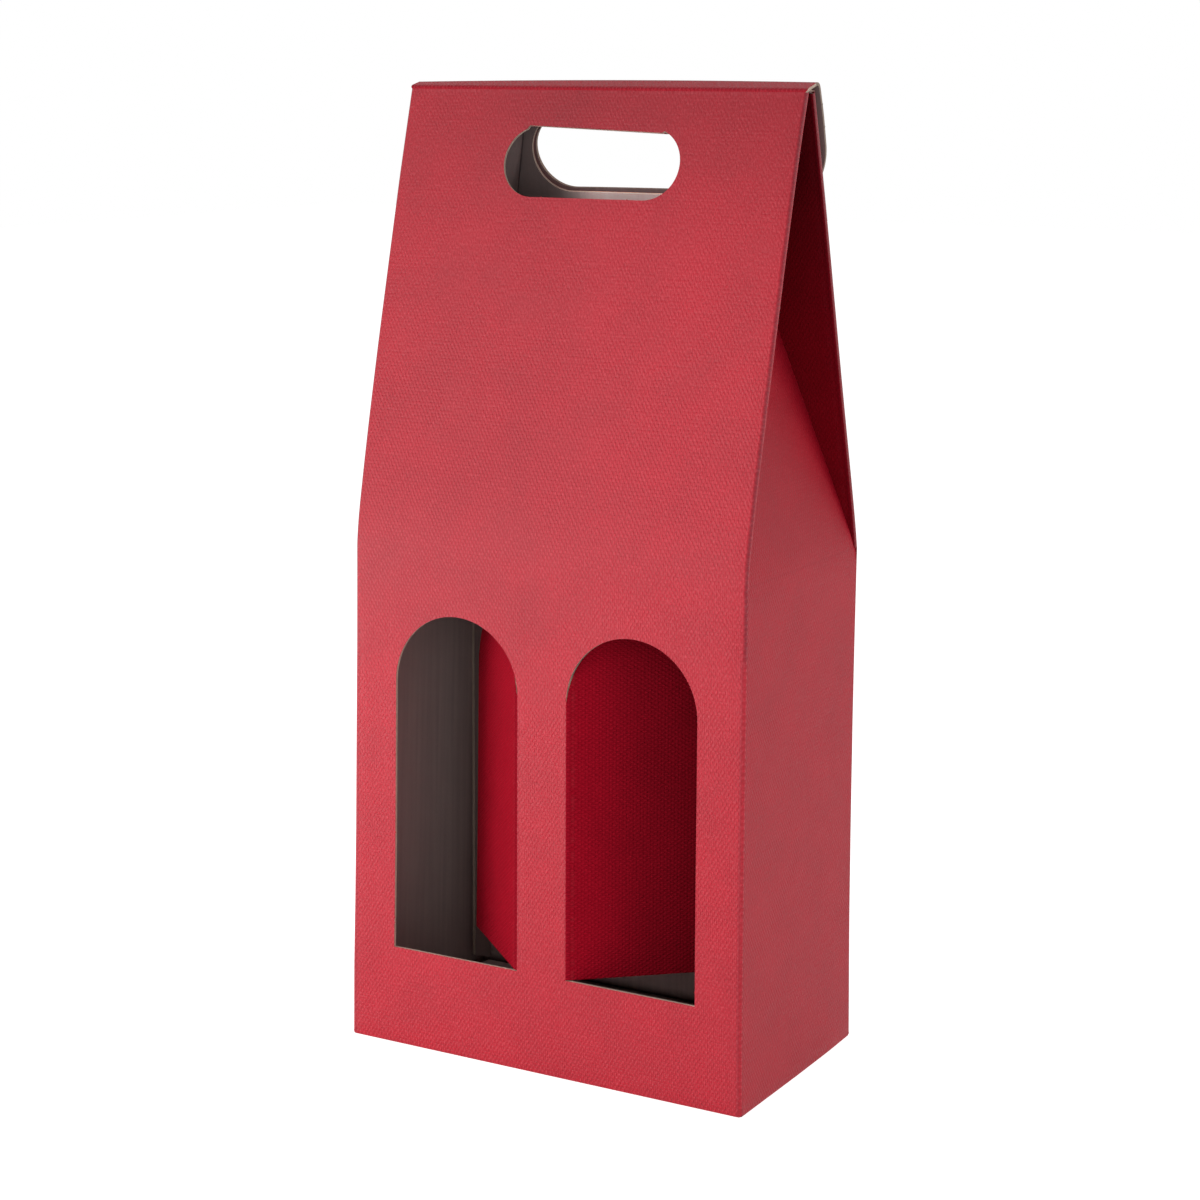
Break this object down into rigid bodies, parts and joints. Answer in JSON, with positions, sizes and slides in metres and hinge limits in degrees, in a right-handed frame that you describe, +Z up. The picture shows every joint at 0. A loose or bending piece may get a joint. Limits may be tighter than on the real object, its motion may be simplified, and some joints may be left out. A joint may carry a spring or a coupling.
{
  "type": "wine box",
  "caption": "Gable-topped bottle carrier of folded corrugated board with arched windows, pushed-in flaps, folded-in gussets and a hand slot.",
  "frame": {"origin": "bottom centre of the box, on the surface that it stands on", "axes": "+Z up, +X to the right seen from the front, the windowed front faces -Y"},
  "size_m": [0.18, 0.103, 0.3995],
  "materials": {
    "board_front": "dark red embossed paper facing with a soft sheen",
    "board_side": "dark red embossed paper facing with a soft sheen",
    "board_inside": "dark red embossed facing, seen in shade inside the windows and gussets",
    "liner": "matt grey-brown inner liner"
  },
  "bodies": {
    "sleeve": {"front_wall": "board_front", "back_wall": "board_front", "left_wall": "board_side", "right_wall": "board_side", "glue_flap": "liner", "bottom_front": "board_front", "bottom_back": "board_front", "bottom_left": "liner", "bottom_right": "liner", "bottom_tab_left": "liner", "bottom_tab_right": "liner"},
    "front_gable": {"front_gable": "board_front"},
    "back_gable": {"back_gable": "board_front"},
    "ridge_strip": {"ridge_strip": "board_front"},
    "closing_flap": {"closing_flap": "board_front"},
    "handle_flap": {"handle_flap": "board_inside"},
    "gusset_left": {"gusset_left": "board_side"},
    "gusset_right": {"gusset_right": "board_side"},
    "wing_front_left": {"wing_front_left": "board_inside"},
    "wing_front_right": {"wing_front_right": "board_inside"},
    "wing_back_left": {"wing_back_left": "board_inside"},
    "wing_back_right": {"wing_back_right": "board_inside"},
    "window_flap_left": {"window_flap_left": "board_inside"},
    "window_flap_right": {"window_flap_right": "board_inside"}
  },
  "joints": [
    {"name": "closing_crease", "type": "hinge", "parent": "ridge_strip", "child": "closing_flap", "pos_m": [0, 0.00538, 0.39919], "axis": [1, 0, 0], "range_deg": [0, 164.3]},
    {"name": "ridge_crease", "type": "hinge", "parent": "front_gable", "child": "ridge_strip", "pos_m": [0, -0.0048, 0.39625], "axis": [1, 0, 0], "range_deg": [0, 155]},
    {"name": "front_shoulder", "type": "hinge", "parent": "sleeve", "child": "front_gable", "pos_m": [0, -0.0509, 0.2104], "axis": [1, 0, 0], "range_deg": [0, 13.94]},
    {"name": "back_shoulder", "type": "hinge", "parent": "sleeve", "child": "back_gable", "pos_m": [0, 0.0509, 0.2104], "axis": [-1, 0, 0], "range_deg": [0, 15.36]},
    {"name": "gusset_crease_left", "type": "hinge", "parent": "sleeve", "child": "gusset_left", "pos_m": [-0.0894, 0, 0.2104], "axis": [0, -1, 0], "range_deg": [0, 6.51]},
    {"name": "gusset_crease_right", "type": "hinge", "parent": "sleeve", "child": "gusset_right", "pos_m": [0.0894, 0, 0.2104], "axis": [0, 1, 0], "range_deg": [0, 6.51]},
    {"name": "wing_fold_front_left", "type": "hinge", "parent": "front_gable", "child": "wing_front_left", "pos_m": [-0.08858, -0.0501, 0.2102], "axis": [0, 0.2408, 0.9706], "range_deg": [0, 56.01]},
    {"name": "wing_fold_front_right", "type": "hinge", "parent": "front_gable", "child": "wing_front_right", "pos_m": [0.08858, -0.0501, 0.2102], "axis": [0, -0.2408, -0.9706], "range_deg": [0, 56.01]},
    {"name": "wing_fold_back_left", "type": "hinge", "parent": "back_gable", "child": "wing_back_left", "pos_m": [-0.08858, 0.0501, 0.21018], "axis": [0, 0.2647, -0.9643], "range_deg": [0, 56.01]},
    {"name": "wing_fold_back_right", "type": "hinge", "parent": "back_gable", "child": "wing_back_right", "pos_m": [0.08858, 0.0501, 0.21018], "axis": [0, -0.2647, 0.9643], "range_deg": [0, 56.01]},
    {"name": "handle_fold", "type": "hinge", "parent": "front_gable", "child": "handle_flap", "pos_m": [0, -0.00901, 0.37926], "axis": [1, 0, 0], "range_deg": [-103.9, 0]},
    {"name": "window_fold_left", "type": "hinge", "parent": "sleeve", "child": "window_flap_left", "pos_m": [-0.01125, -0.0509, 0.042], "axis": [0, 0, -1], "range_deg": [-43, 47]},
    {"name": "window_fold_right", "type": "hinge", "parent": "sleeve", "child": "window_flap_right", "pos_m": [0.01125, -0.0509, 0.042], "axis": [0, 0, 1], "range_deg": [-41, 49]}
  ],
  "couplings": [
    {"joint": "ridge_crease", "follows": "closing_crease", "ratio": 0.94321},
    {"joint": "front_shoulder", "follows": "closing_crease", "ratio": 0.08479},
    {"joint": "back_shoulder", "follows": "closing_crease", "ratio": 0.09343},
    {"joint": "gusset_crease_left", "follows": "closing_crease", "ratio": 0.03956},
    {"joint": "gusset_crease_right", "follows": "closing_crease", "ratio": 0.03956},
    {"joint": "wing_fold_front_left", "follows": "closing_crease", "ratio": 0.34084},
    {"joint": "wing_fold_front_right", "follows": "closing_crease", "ratio": 0.34084},
    {"joint": "wing_fold_back_left", "follows": "closing_crease", "ratio": 0.34084},
    {"joint": "wing_fold_back_right", "follows": "closing_crease", "ratio": 0.34084}
  ]
}
